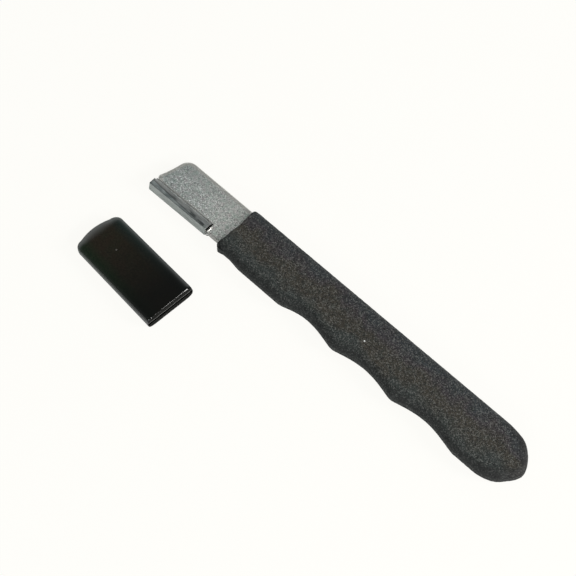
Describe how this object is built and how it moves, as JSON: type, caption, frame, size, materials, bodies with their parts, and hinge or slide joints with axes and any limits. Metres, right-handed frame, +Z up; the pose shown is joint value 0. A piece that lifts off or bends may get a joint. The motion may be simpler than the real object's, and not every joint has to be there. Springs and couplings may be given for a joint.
{
  "type": "carbide edge beveler",
  "caption": "Flat hand tool: a blasted steel blade with a hard carbide bar brazed along one edge, a dipped finger-groove grip, and a soft slip-on blade cap.",
  "frame": {"origin": "middle of the bounding box of tool and cap together, at the height of the surface they lie on", "axes": "+X from the butt of the grip to the tip of the blade, +Y from the straight spine to the finger grooves, +Z up"},
  "size_m": [0.135, 0.0458, 0.0054],
  "materials": {
    "blasted_steel": "grey, shot-blasted, coarse sparkling grain",
    "carbide": "dark ground tungsten carbide, lighter on its outer side",
    "silver_braze": "bright silver solder, dulled by flux along the seam",
    "dipped_vinyl": "matte black dip with a fine sandy texture",
    "glossy_vinyl": "smooth glossy black dip-moulded vinyl"
  },
  "bodies": {
    "tool": {"steel_blade": "blasted_steel", "carbide_bar": "carbide", "braze_seam": "silver_braze", "grip": "dipped_vinyl"},
    "cap": {"cap": "glossy_vinyl"}
  },
  "joints": [
    {"name": "cap_draw", "type": "slide", "parent": "tool", "child": "cap", "axis": [1, 0, 0], "range_m": [0, 0.034]}
  ]
}
